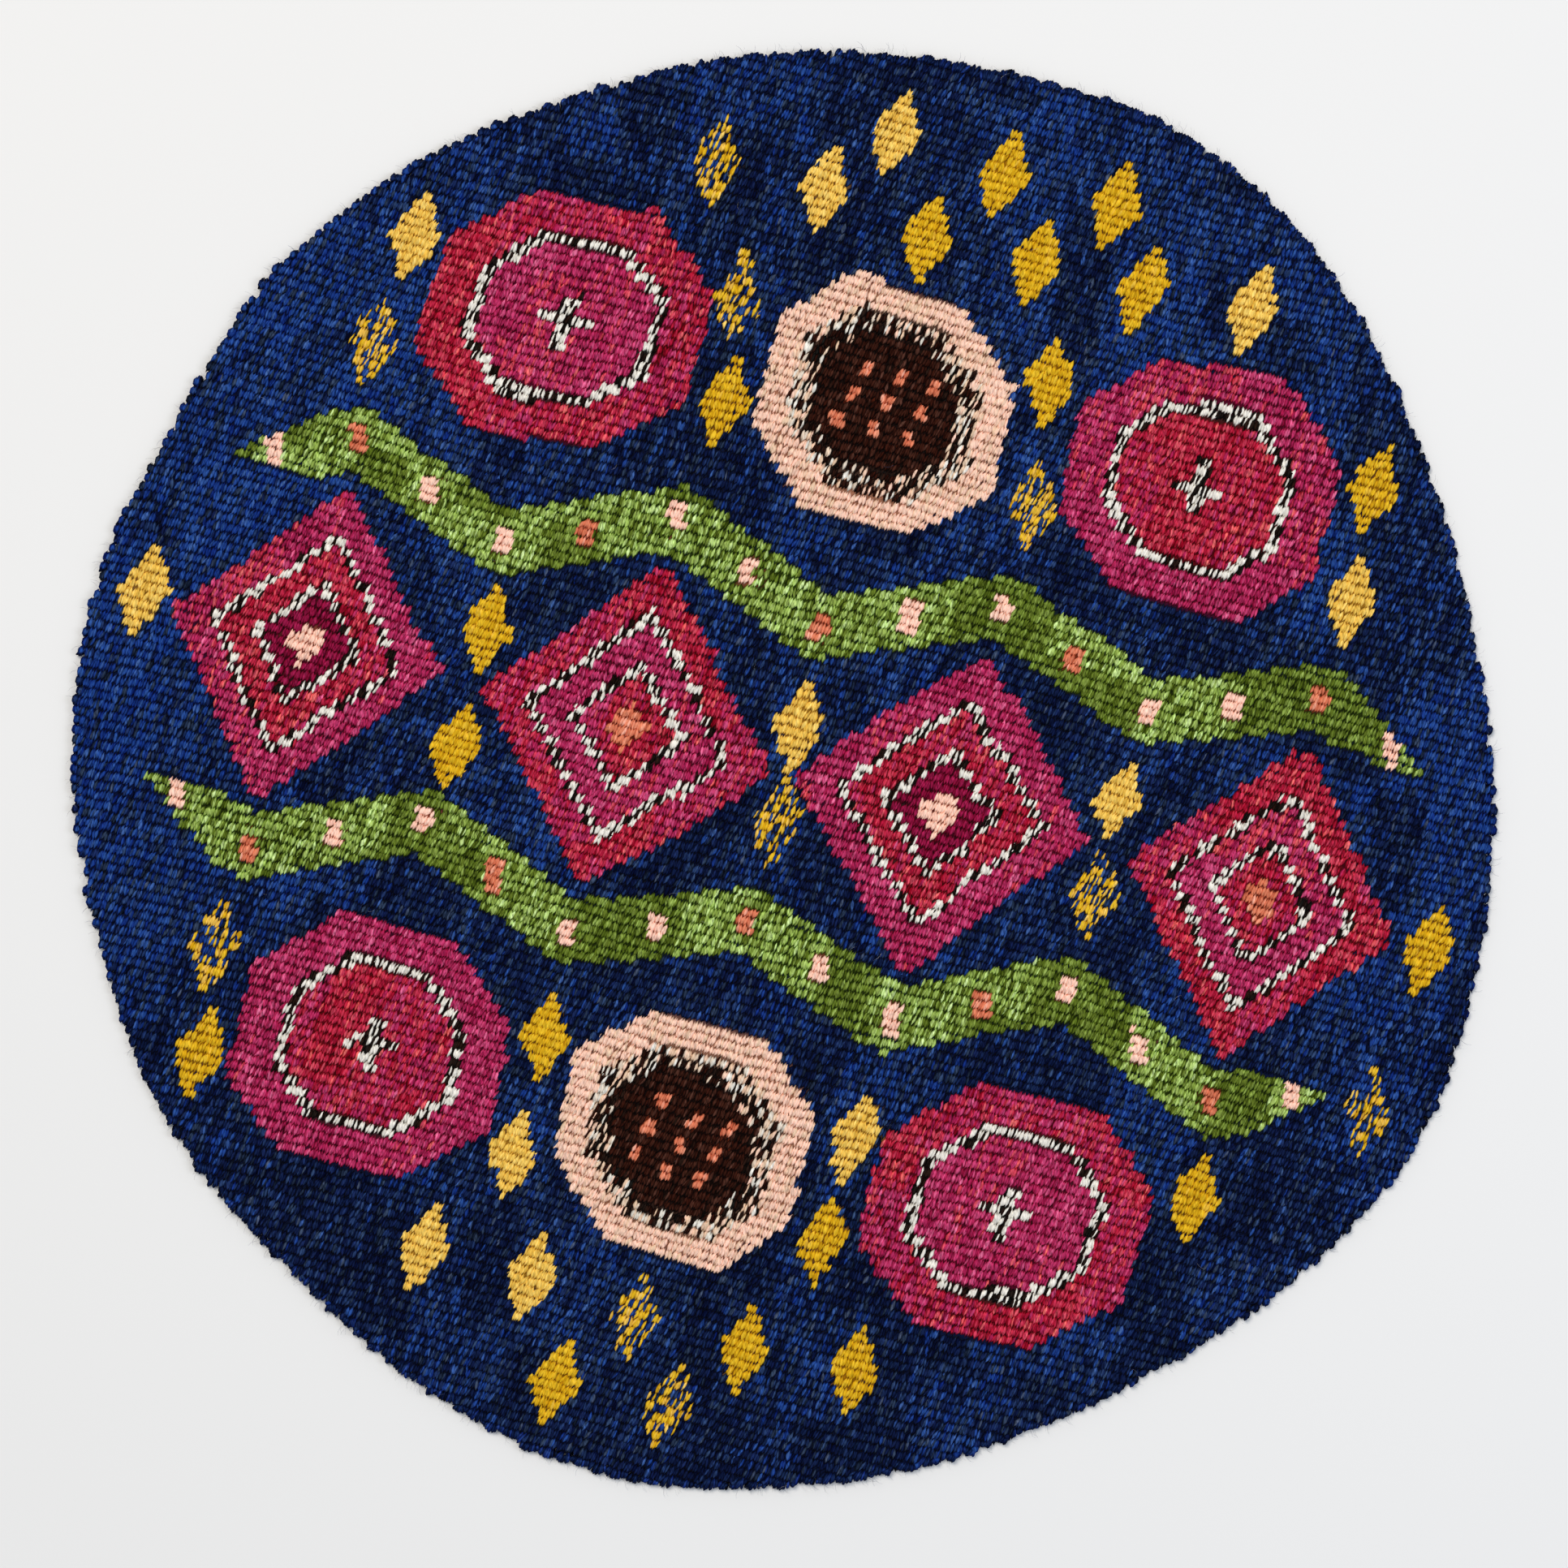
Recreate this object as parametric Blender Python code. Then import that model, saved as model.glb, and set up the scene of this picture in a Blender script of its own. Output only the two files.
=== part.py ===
"""A round wall tapestry, hand-woven in wool, laid face up on a surface.

The cloth is one piece, about 0.47 m across and 3 mm thick. Its warps lie side by side
and run right across it as fine ribs, turned a little clockwise from +X, and the packed
wool weft covers them on both faces. Each weft turns back round the last warp that it
reaches, so the rim is closed, lumpy and not quite round. The face shows the ribs and
the underside is flat, where the cloth rests.

Metres, +Z up. The origin is the middle of the bounding box, on the underside.
"""

import math

import bmesh
import bpy
import numpy as np

NAME = "round_woven_tapestry"

WARP_SPACING = 0.0254 / 8           # eight warps to the inch
WARP_TURN = math.radians(-15.0)     # the ribs' direction, from +X
THICKNESS = 0.0030                  # underside to the crest of a rib
RIB_RELIEF = 0.0006                 # crest to the valley beside it

COLUMNS = 8                         # steps along a rib, enough for its slow wander
WANDER = 0.0014                     # how far a rib strays from a straight line
WANDER_ALONG = 0.250                # length of that wander, along the ribs
WANDER_ACROSS = 0.400               # and across them

CREST_REACH = 0.0006                # how far a rib's end stands past its valleys
LUMP = 0.0008                       # most that a rib's end is longer or shorter by
LUMP_SEED = 7

# The rim seen from above: its distance from the middle, by bearing from +X to +Y.
BEARING_DEG, RADIUS_MM = 0, 1
RIM = (
    (0, 235), (15, 233), (30, 238), (45, 247), (60, 251), (75, 244),
    (90, 238), (105, 235), (120, 237), (135, 237), (150, 233), (165, 237),
    (180, 236), (195, 234), (210, 235), (225, 234), (240, 239), (255, 243),
    (270, 237), (285, 235), (300, 235), (315, 239), (330, 243), (345, 239),
)
RIM_SAMPLES = 1440                  # points that the chords are read from

WOOL_COLOUR = (0.012, 0.025, 0.085, 1.0)
WOOL_ROUGHNESS = 0.9


def clear_scene():
    for item in list(bpy.data.objects):
        bpy.data.objects.remove(item, do_unlink=True)


def rim_radius(bearing):
    """The rim's distance from the middle, a smooth closed curve through RIM's rows."""
    radii = [row[RADIUS_MM] / 1000.0 for row in RIM]
    step = math.radians(RIM[1][BEARING_DEG] - RIM[0][BEARING_DEG])
    place = bearing / step
    row = math.floor(place)
    t = place - row
    before, start, end, after = (radii[(row + k) % len(radii)] for k in (-1, 0, 1, 2))
    leave = (end - before) / 2
    arrive = (after - start) / 2
    bend = 2 * (start - end) + leave + arrive
    lean = 3 * (end - start) - 2 * leave - arrive
    return ((bend * t + lean) * t + leave) * t + start


def rim_in_weave():
    """The rim's points as rows of (along the ribs, across the ribs)."""
    points = []
    for sample in range(RIM_SAMPLES):
        turn = 2 * math.pi * sample / RIM_SAMPLES
        radius = rim_radius(turn + WARP_TURN)
        points.append((radius * math.cos(turn), radius * math.sin(turn)))
    return np.array(points)


def chord_ends(rim):
    """Functions that give a rib's left and right end from its place across the ribs."""
    lowest = int(np.argmin(rim[:, 1]))
    turned = np.roll(rim, -lowest, axis=0)
    highest = int(np.argmax(turned[:, 1]))
    right = turned[:highest + 1]
    left = np.vstack([turned[highest:], turned[:1]])[::-1]

    def left_end(across):
        return float(np.interp(across, left[:, 1], left[:, 0]))

    def right_end(across):
        return float(np.interp(across, right[:, 1], right[:, 0]))

    return left_end, right_end


def weave_cloth(collection):
    """One closed sheet: ribbed on its face, flat on its underside."""
    rim = rim_in_weave()
    left_end, right_end = chord_ends(rim)
    low, high = rim[:, 1].min(), rim[:, 1].max()
    ribs = round((high - low) / WARP_SPACING)
    rows = 2 * ribs                 # a crest and a valley for each rib
    pitch = (high - low) / rows
    lumps = np.random.default_rng(LUMP_SEED).uniform(-LUMP, LUMP, (rows + 1, 2))

    bm = bmesh.new()
    bmesh.ops.create_grid(bm, x_segments=COLUMNS, y_segments=rows, size=1.0)
    on_crest = {}
    for vert in bm.verts:
        share = (vert.co.x + 1) / 2
        row = round((vert.co.y + 1) / 2 * rows)
        crest = row % 2
        # the first and last rows stand half a row in, so that they have a length
        across = low + pitch * min(max(row, 0.5), rows - 0.5)
        left = left_end(across) - crest * CREST_REACH - lumps[row, 0]
        right = right_end(across) + crest * CREST_REACH + lumps[row, 1]
        along = left + share * (right - left)
        phase = 2 * math.pi * (along / WANDER_ALONG + across / WANDER_ACROSS)
        across += WANDER * math.sin(phase)
        vert.co.x = along * math.cos(WARP_TURN) - across * math.sin(WARP_TURN)
        vert.co.y = along * math.sin(WARP_TURN) + across * math.cos(WARP_TURN)
        on_crest[vert.index] = crest

    middle_x = (min(v.co.x for v in bm.verts) + max(v.co.x for v in bm.verts)) / 2
    middle_y = (min(v.co.y for v in bm.verts) + max(v.co.y for v in bm.verts)) / 2
    bmesh.ops.translate(bm, verts=bm.verts, vec=(-middle_x, -middle_y, 0.0))

    for vert in bm.verts:
        vert.co.z = THICKNESS if on_crest[vert.index] else THICKNESS - RIB_RELIEF
    below = bmesh.ops.extrude_face_region(bm, geom=bm.faces[:])["geom"]
    for item in below:
        if isinstance(item, bmesh.types.BMVert):
            item.co.z = 0.0
    underside = [item for item in below if isinstance(item, bmesh.types.BMFace)]
    bmesh.ops.dissolve_faces(bm, faces=underside, use_verts=True)
    bmesh.ops.recalc_face_normals(bm, faces=bm.faces)

    mesh = bpy.data.meshes.new("woven_cloth")
    bm.to_mesh(mesh)
    bm.free()
    mesh.shade_smooth()
    mesh.set_sharp_from_angle(angle=math.radians(50.0))
    mesh.materials.append(wool())
    cloth = bpy.data.objects.new("woven_cloth", mesh)
    collection.objects.link(cloth)
    return cloth


def wool():
    material = bpy.data.materials.new("dyed_wool_weft")
    material.use_nodes = True
    shader = material.node_tree.nodes["Principled BSDF"]
    shader.inputs["Base Color"].default_value = WOOL_COLOUR
    shader.inputs["Roughness"].default_value = WOOL_ROUGHNESS
    shader.inputs["Metallic"].default_value = 0.0
    return material


clear_scene()
tapestry = bpy.data.collections.new(NAME)
bpy.context.scene.collection.children.link(tapestry)
weave_cloth(tapestry)
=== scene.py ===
"""The finish of a round, hand-woven wool tapestry, woven stitch by stitch round its solid.

Lengths are in millimetres until a piece's points are made, and "along" and "across"
mean along the ribs, which cover the warps, and across them, the way the weft runs.
"""

import math

import bmesh
import bpy
import numpy as np
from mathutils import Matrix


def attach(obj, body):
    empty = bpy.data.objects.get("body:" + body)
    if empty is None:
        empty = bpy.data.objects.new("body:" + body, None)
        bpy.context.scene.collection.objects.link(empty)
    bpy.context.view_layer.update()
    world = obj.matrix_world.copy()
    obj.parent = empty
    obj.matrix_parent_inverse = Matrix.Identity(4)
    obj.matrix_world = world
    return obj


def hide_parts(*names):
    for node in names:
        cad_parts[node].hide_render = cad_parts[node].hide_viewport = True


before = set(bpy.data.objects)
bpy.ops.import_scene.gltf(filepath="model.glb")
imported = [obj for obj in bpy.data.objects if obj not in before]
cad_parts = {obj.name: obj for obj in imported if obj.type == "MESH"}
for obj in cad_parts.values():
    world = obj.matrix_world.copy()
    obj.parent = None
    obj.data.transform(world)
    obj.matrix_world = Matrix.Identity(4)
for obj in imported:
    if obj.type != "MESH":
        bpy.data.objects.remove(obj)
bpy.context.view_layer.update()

MM = 0.001

# The cloth's outline and its lie. The rim is read from the foot of the woven solid; the
# warps run 15 degrees clockwise from +X, eight to the inch, and stray a little as they go.
WARP_SPACING = 25.4 / 8
WARP_TURN = math.radians(-15.0)
CLOTH_THICKNESS = 3.0
WANDER = 1.4                # how far a warp strays from a straight line
WANDER_ALONG = 250.0        # length of that wander, along the warps
WANDER_ACROSS = 400.0       # and across them
HALF_SPAN = 262.0           # half of the square that the weave is laid out in
FOOT_HEIGHT = 0.5           # the solid's points below this are its foot

corners = np.array([vert.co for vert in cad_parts["woven_cloth"].data.vertices]) / MM
foot = corners[corners[:, 2] < FOOT_HEIGHT]
foot_bearing = np.arctan2(foot[:, 1], foot[:, 0])
foot_order = np.argsort(foot_bearing)
foot_bearing = foot_bearing[foot_order]
foot_radius = np.hypot(foot[:, 0], foot[:, 1])[foot_order]


def rim_at(bearing):
    return np.interp(bearing, foot_bearing, foot_radius, period=2 * math.pi)


def on_table(along, across):
    """A place in the weave as (x, y) on the table, with the ribs' slow wander."""
    strayed = across + WANDER * np.sin(2 * math.pi * (along / WANDER_ALONG + across / WANDER_ACROSS))
    x = along * math.cos(WARP_TURN) - strayed * math.sin(WARP_TURN)
    y = along * math.sin(WARP_TURN) + strayed * math.cos(WARP_TURN)
    return x, y


def inside_rim(along, across):
    """How far a place in the weave lies inside the rim."""
    x, y = on_table(along, across)
    return rim_at(np.arctan2(y, x)) - np.hypot(x, y)


# The design that the weaver follows: rows of lozenges, a zigzag each side of them, rows of
# octagons, and small lozenges strewn over the blue ground. Each part paints its dye mix.
(GROUND, MAGENTA, CRIMSON, PLUM, MARL, GREEN, ROSE, CORAL, MUSTARD, STRAW, HATCHED,
 PEACH, SHADED, DEEP_SHADED, BROWN) = range(15)
REPEAT = 110.0              # from one large motif to the next, along the ribs
ROWS_OUT = 126.0            # from the middle to each row of octagons
CORNER_CUT = 1.45           # how far an octagon's slanting sides stand out


def lozenge(along, across, middle, half_long, half_high):
    """0 at a lozenge's middle and 1 at its edge, stepping from rib to rib."""
    up = np.floor(np.abs(across - middle[1]) / WARP_SPACING + 0.01) * WARP_SPACING
    return np.abs(along - middle[0]) / half_long + up / half_high


def octagon(along, across, middle, half_long, half_high):
    """0 at an octagon's middle and 1 at its edge."""
    out = np.abs(along - middle[0]) / half_long
    up = np.abs(across - middle[1]) / half_high
    return np.maximum(np.maximum(out, up), (out + up) / CORNER_CUT)


def bar(along, across, middle, half_long, half_high):
    """Whether a place lies in an upright rectangle round a middle."""
    return (np.abs(along - middle[0]) <= half_long) & (np.abs(across - middle[1]) <= half_high)


ZIGZAG_OUT = 60.0           # from the middle to a zigzag band
ZIGZAG_SWING = 11.0         # how far it swings to each side
ZIGZAG_HALF = 11.5          # half of its width
ZIGZAG_END = 206.0          # where it comes to a point
ZIGZAG_TAPER = 30.0         # length of that point
ZIGZAG_SPOT = (2.9, 4.9)    # half sizes of the spots on it
LAST_SPOT = 200.0           # no spot lies further along than this


def zigzag_line(along):
    """The middle of a zigzag band, out from the row of lozenges."""
    place = (along - REPEAT / 2) / REPEAT
    return ZIGZAG_OUT + ZIGZAG_SWING * (1 - 4 * np.abs(place - np.floor(place + 0.5)))


def paint_zigzags(mix, along, across):
    out = np.abs(across)
    half = ZIGZAG_HALF * np.clip((ZIGZAG_END - np.abs(along)) / ZIGZAG_TAPER, 0, 1)
    band = np.abs(out - zigzag_line(along)) <= half
    mix[band] = GREEN
    quarter = np.round(along / (REPEAT / 4))
    middle = quarter * REPEAT / 4
    spot = bar(along, out, (middle, zigzag_line(middle)), *ZIGZAG_SPOT)
    spot &= band & (np.abs(middle) < LAST_SPOT)
    mix[spot] = np.where(quarter % 3 == 0, CORAL, ROSE)[spot]


LOZENGE_LONG = 50.0         # half sizes of the large lozenges
END_LOZENGE_LONG = 44.0
LOZENGE_HIGH = 54.0
# edges inside a motif are shares of the way from its middle to its edge
BAND_EDGE = 0.68
HEART_EDGE = 0.36
SPOT_EDGE = 0.13
LOZENGE_LINES = ((0.63, 0.715), (0.315, 0.40))


def paint_lozenges(mix, along, across):
    for column in range(4):
        middle = ((column - 1.5) * REPEAT, 0.0)
        half_long = LOZENGE_LONG if column in (1, 2) else END_LOZENGE_LONG
        outer, band, heart = ((MAGENTA, CRIMSON, PLUM), (CRIMSON, MAGENTA, CRIMSON))[column % 2]
        out = lozenge(along, across, middle, half_long, LOZENGE_HIGH)
        mix[out < 1] = outer
        mix[out < BAND_EDGE] = band
        mix[out < HEART_EDGE] = heart
        for line_in, line_out in LOZENGE_LINES:
            mix[(out >= line_in) & (out < line_out)] = MARL
        mix[out < SPOT_EDGE] = CORAL if column % 2 else ROSE


OCTAGON_HALF = (45.0, 41.0)         # half sizes of the red octagons
OCTAGON_HEART = 0.62
OCTAGON_LINE = (0.60, 0.69)
CROSS_BARS = ((9, 1.6), (2.6, 9.6))
DARK_OCTAGON_HALF = (42.0, 40.0)    # and of the two with dark hearts
DARK_OCTAGON_RINGS = ((1.0, PEACH), (0.76, SHADED), (0.66, DEEP_SHADED), (0.56, BROWN))
SEEDS_ALONG = (-12.0, 0.0, 12.0)    # nine small spots in each dark heart
SEEDS_ACROSS = (-9.5, 0.0, 9.5)
SEED_HALF = (1.9, 3.2)
SEED_SLANT = 0.3


def paint_octagons(mix, along, across):
    for row in (-1, 1):
        for column in (-1, 1):
            middle = (column * REPEAT, row * ROWS_OUT)
            out = octagon(along, across, middle, *OCTAGON_HALF)
            outer, heart = (MAGENTA, CRIMSON) if row * column > 0 else (CRIMSON, MAGENTA)
            mix[out < 1] = outer
            mix[out < OCTAGON_HEART] = heart
            mix[(out >= OCTAGON_LINE[0]) & (out < OCTAGON_LINE[1])] = MARL
            for half in CROSS_BARS:
                mix[bar(along, across, middle, *half)] = MARL
        middle = (0.0, row * ROWS_OUT)
        out = octagon(along, across, middle, *DARK_OCTAGON_HALF)
        for edge, dye in DARK_OCTAGON_RINGS:
            mix[out < edge] = dye
        for seed_out in SEEDS_ALONG:
            for seed_up in SEEDS_ACROSS:
                seed = (middle[0] + seed_out + SEED_SLANT * seed_up, middle[1] + seed_up)
                mix[bar(along, across, seed, *SEED_HALF)] = CORAL


STREWN_HALF = (7.8, 15.5)           # half sizes of the small lozenges
STREWN_TIPS = ((-8.0, 0.0), (8.0, 0.0), (0.0, -15.5), (0.0, 15.5))
STREWN_IN_RIM = 6.5                 # none comes nearer to the rim
STREWN_OFF = 2.0                    # how far one may sit off its place
# their row's place across the ribs, and their places along it, both repeated on the
# other side of the middle
ACROSS, ALONG = 0, 1
STREWN = (
    (0.0, (221.0,)),
    (18.5, (0.0, 110.0)),
    (58.0, (219.0,)),
    (101.0, (206.0,)),
    (104.0, (168.0,)),
    (109.0, (54.0,)),
    (141.0, (166.0,)),
    (147.0, (55.0,)),
    (187.0, (0.0, 37.0, 74.0, 111.0, 145.0)),
    (214.0, (18.5, 55.5, 92.5)),
)


def paint_strewn(mix, along, across):
    """Paints the small lozenges. Sines of their number stand in for chance."""
    dyes = (MUSTARD, HATCHED, STRAW, MUSTARD, HATCHED, STRAW, MUSTARD)
    count = 0
    for row in STREWN:
        for up in sorted({row[ACROSS], -row[ACROSS]}):
            for place in row[ALONG]:
                for out in sorted({place, -place}):
                    count += 1
                    middle = (out + STREWN_OFF * math.sin(count * 12.9),
                              up + STREWN_OFF * math.sin(count * 78.2))
                    if min(inside_rim(middle[0] + a, middle[1] + b) for a, b in STREWN_TIPS) < STREWN_IN_RIM:
                        continue
                    mix[lozenge(along, across, middle, *STREWN_HALF) < 1] = dyes[count * 5 % len(dyes)]


def dye_mix(along, across):
    mix = np.full(along.shape, GROUND)
    paint_zigzags(mix, along, across)
    paint_lozenges(mix, along, across)
    paint_octagons(mix, along, across)
    paint_strewn(mix, along, across)
    return mix


# The warps under the weft: cotton cords side by side. They stand in one sheet and show only
# as the dark of a gap between stitches, and their colours are painted shade: each dye's colour
# as it reads in shadow deep in a gap, not the cotton's own.
CORE_INSET = 2.2
CORE_HALF = 0.6             # half of the sheet's thickness
CORE_STEPS = 118            # columns, about 4 mm apart, enough to follow the dyes
SHORTEST_ROW = 8.0          # no row of the core is shorter
GROUND_LAPS = ((-3.0, 0.0), (3.0, 0.0), (0.0, -2.5), (0.0, 2.5))
# painted shade: the colour that each dye shows deep in a gap, in shadow
GAP_SHADE_COLOURS = {
    GROUND: "#08112e", MAGENTA: "#4c0620", CRIMSON: "#540710", PLUM: "#3a0318", MARL: "#20201c",
    GREEN: "#202c06", ROSE: "#7a3c2c", CORAL: "#6a2a16", MUSTARD: "#8a5c08", STRAW: "#90661c",
    HATCHED: "#3c2e16", PEACH: "#8a5c46", SHADED: "#5a4236", DEEP_SHADED: "#2c1c16", BROWN: "#140805",
}


def linear(hex_colour):
    """An sRGB hex value as a linear RGBA colour."""
    shares = [int(hex_colour[k:k + 2], 16) / 255 for k in (1, 3, 5)]
    return [s / 12.92 if s <= 0.04045 else ((s + 0.055) / 1.055) ** 2.4 for s in shares] + [1.0]


def add(tree, kind, sockets=(), **settings):
    """A node with its settings, and each named socket given a value or linked to an output."""
    node = tree.nodes.new(kind)
    for name, value in settings.items():
        setattr(node, name, value)
    for socket, value in dict(sockets).items():
        if isinstance(value, bpy.types.NodeSocket):
            tree.links.new(value, node.inputs[socket])
        else:
            node.inputs[socket].default_value = value
    return node


def new_piece(name, mesh):
    piece = bpy.data.objects.new(name, mesh)
    bpy.context.scene.collection.objects.link(piece)
    return piece


def row_ends(across):
    """The two ends of a row of the core, where it comes within CORE_INSET of the rim."""
    along = np.arange(-HALF_SPAN, HALF_SPAN, 0.25)
    held = along[inside_rim(along, np.full(along.shape, across)) > CORE_INSET]
    return (held[0], held[-1]) if len(held) else (0.0, 0.0)


rib_count = int(HALF_SPAN / WARP_SPACING)
rib_places = np.arange(-rib_count, rib_count + 1) * WARP_SPACING
core_rows = [(place, *row_ends(place)) for place in rib_places]
core_rows = [row for row in core_rows if row[2] - row[1] > SHORTEST_ROW]
row_steps = len(core_rows) - 1
bm = bmesh.new()
bmesh.ops.create_grid(bm, x_segments=CORE_STEPS, y_segments=row_steps, size=1.0)
along_across = []
for vert in bm.verts:
    across, left, right = core_rows[round((vert.co.y + 1) / 2 * row_steps)]
    along = left + (vert.co.x + 1) / 2 * (right - left)
    along_across.append((along, across))
    vert.co = (*on_table(along, across), CORE_HALF)
core_along, core_across = np.array(along_across).T
top_mix = dye_mix(core_along, core_across)
# beside the ground the warps take the ground's painted shade, so that no bright dye shows in its gaps
for sideways, upward in GROUND_LAPS:
    top_mix[dye_mix(core_along + sideways, core_across + upward) == GROUND] = GROUND
# each point of the core takes the painted gap shade of the dye above it
gap_shade = bm.verts.layers.float_color.new("gap_shade")
for vert, dye in zip(bm.verts, top_mix):
    vert[gap_shade] = linear(GAP_SHADE_COLOURS[int(dye)])
below = bmesh.ops.extrude_face_region(bm, geom=bm.faces[:])["geom"]
for vert in [item for item in below if isinstance(item, bmesh.types.BMVert)]:
    vert.co.z = -CORE_HALF
underside = [item for item in below if isinstance(item, bmesh.types.BMFace)]
bmesh.ops.dissolve_faces(bm, faces=underside, use_verts=True)
bmesh.ops.translate(bm, verts=bm.verts, vec=(0, 0, CLOTH_THICKNESS / 2))
bmesh.ops.scale(bm, verts=bm.verts, vec=(MM, MM, MM))
bmesh.ops.recalc_face_normals(bm, faces=bm.faces)
core_mesh = bpy.data.meshes.new("warp_core")
bm.to_mesh(core_mesh)
bm.free()
warp_core = new_piece("warp_core", core_mesh)

# Plied cotton, matt and dark: its colour is the painted gap shade of each dye, with a soft
# random mottle.
MOTTLE_WIDE = 1.2
gap_shaded_cotton = bpy.data.materials.new("cotton_warp_painted_gap_shade")
gap_shaded_cotton.use_nodes = True
tree = gap_shaded_cotton.node_tree
shader = tree.nodes["Principled BSDF"]
where = add(tree, "ShaderNodeTexCoord")
own = add(tree, "ShaderNodeAttribute", attribute_name="gap_shade")
mottle = add(tree, "ShaderNodeTexNoise", {
    "Vector": where.outputs["Object"], "Scale": 1 / (MOTTLE_WIDE * MM), "Detail": 2.0})
depth = add(tree, "ShaderNodeMapRange", {
    "Value": mottle.outputs["Fac"], "From Min": 0.3, "From Max": 0.7, "To Min": 0.6, "To Max": 1.3})
tone = add(tree, "ShaderNodeVectorMath", {0: own.outputs["Color"], 1: depth.outputs["Result"]},
           operation="MULTIPLY")
tree.links.new(tone.outputs["Vector"], shader.inputs["Base Color"])
shader.inputs["Roughness"].default_value = 0.95
shader.inputs["Specular IOR Level"].default_value = 0.05
warp_core.data.materials.append(gap_shaded_cotton)

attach(warp_core, "root")
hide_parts("woven_cloth")

# The stitches. A weft of two plies passes over a rib and under the next, so stitches lie
# staggered on neighbouring ribs. Each ply leans with the yarn's twist, and the beater has
# packed the rows closer in some places than in others.
PASS_SPACING = 1.6          # from one pass of the weft to the next
STITCH_LONG = 5.4           # a ply's length, with the tips that dip under the next ribs
PLY_SPACING = PASS_SPACING / 2
STITCH_HIGH = 0.97
STITCH_BASE = 0.5           # from the cloth's middle layer to the foot of a stitch
REACH = STITCH_BASE + STITCH_HIGH
TWIST_LEAN = math.radians(-12.0)
DRIFT = 0.45                # how far the passes stray, over some 7 mm
DRIFT_CELL = 7.0
RIB_DRIFT = 0.6             # share of that by which stitches stray off their rib
BOW = 3.0                   # the passes bow a little, over these lengths
BOW_ALONG, BOW_ACROSS = 190, 700


def woven_at(along, across):
    """Whether a stitch belongs there: the cloth ends where its turns just reach the rim."""
    bearing = np.arctan2(across, along)
    step = PASS_SPACING * np.abs(np.cos(bearing)) + WARP_SPACING * np.abs(np.sin(bearing))
    return inside_rim(along, across) > REACH - step / 2


rng = np.random.default_rng(41)


def drift(along, across):
    """A smooth random shift, from a coarse grid of shifts."""
    cells = int(2 * HALF_SPAN / DRIFT_CELL) + 2
    shifts = rng.normal(0, DRIFT, (cells, cells))
    column, row = (along + HALF_SPAN) / DRIFT_CELL, (across + HALF_SPAN) / DRIFT_CELL
    i, j = np.clip(column.astype(int), 0, cells - 2), np.clip(row.astype(int), 0, cells - 2)
    s, t = column - i, row - j
    near = shifts[i, j] * (1 - s) + shifts[i + 1, j] * s
    far = shifts[i, j + 1] * (1 - s) + shifts[i + 1, j + 1] * s
    return near * (1 - t) + far * t


pass_count = int(HALF_SPAN / PASS_SPACING)
rib, weft_pass = np.meshgrid(np.arange(-rib_count, rib_count + 1),
                             np.arange(-pass_count, pass_count + 1))
rib, weft_pass = rib.ravel(), weft_pass.ravel()
across = rib * WARP_SPACING
along = (weft_pass + 0.5 * (rib % 2)) * PASS_SPACING
along = along + BOW * np.sin(2 * math.pi * (along / BOW_ALONG + across / BOW_ACROSS))
along = along + drift(along, across)
woven = woven_at(along, across)
rib, weft_pass, across, along = rib[woven], weft_pass[woven], across[woven], along[woven]
rib_stray = RIB_DRIFT * drift(along, across)
turns_up = ~woven_at(along, across + WARP_SPACING)
turns_down = ~woven_at(along, across - WARP_SPACING)

# a weaver's hand: each rib starts and ends a colour a little early or late, and the whole
# design sways a little over every few centimetres
ROW_SLIP = 0.8
row_slip = rng.uniform(-ROW_SLIP, ROW_SLIP, 2 * rib_count + 1)
drawn_along = along + row_slip[rib + rib_count] + 1.6 * np.sin(across / 23 + along / 61)
drawn_across = across + 1.4 * np.sin(along / 31 + 1.0)
mix = dye_mix(drawn_along, drawn_across)

# the stitches part a little where two colours meet along a rib for some way
PARTS_OVER = 5.0
parts_above = np.ones(mix.shape, bool)
parts_below = np.ones(mix.shape, bool)
for sideways in (-PARTS_OVER, 0.0, PARTS_OVER):
    parts_above &= dye_mix(drawn_along + sideways, drawn_across + WARP_SPACING) != mix
    parts_below &= dye_mix(drawn_along + sideways, drawn_across - WARP_SPACING) != mix

# each pass keeps one dye lot for a stretch, and blocks of the ground lean to one blue
STRETCH = 19.0
stretch_lots = rng.random((2 * pass_count + 1, 2 * int(HALF_SPAN / STRETCH) + 4, 2))
stretch_start = rng.uniform(0, STRETCH, 2 * pass_count + 1)
stretch = ((across + HALF_SPAN + stretch_start[weft_pass + pass_count]) / STRETCH).astype(int)
BLOCK_ALONG, BLOCK_ACROSS = 17.0, 40.0
BLOCK_SWAY = 4.0
block_lots = rng.random((60, 40))
block_column = ((along + HALF_SPAN + BLOCK_SWAY * np.sin(across / 31)) / BLOCK_ALONG).astype(int)
block_row = ((across + HALF_SPAN) / BLOCK_ACROSS + block_lots[block_column, 0]).astype(int)
block = block_lots[block_column, block_row + 1]

# painted light: towards the rim the ground turns to brighter blues, most of all on its left and
# less on its right, and to darker blues at its other sides
BRIGHT_RIM_WAYS = (math.radians(155), math.radians(12))
x, y = on_table(along, across)
to_rim = np.clip((np.hypot(x, y) / HALF_SPAN - 0.4) / 0.5, 0, 1)
to_left, to_right = (np.cos((np.arctan2(y, x) - way) / 2) ** 6 for way in BRIGHT_RIM_WAYS)
rim_blue = to_rim * (0.44 * to_left ** 2 + 0.24 * to_right - 0.1) - 0.05

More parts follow.
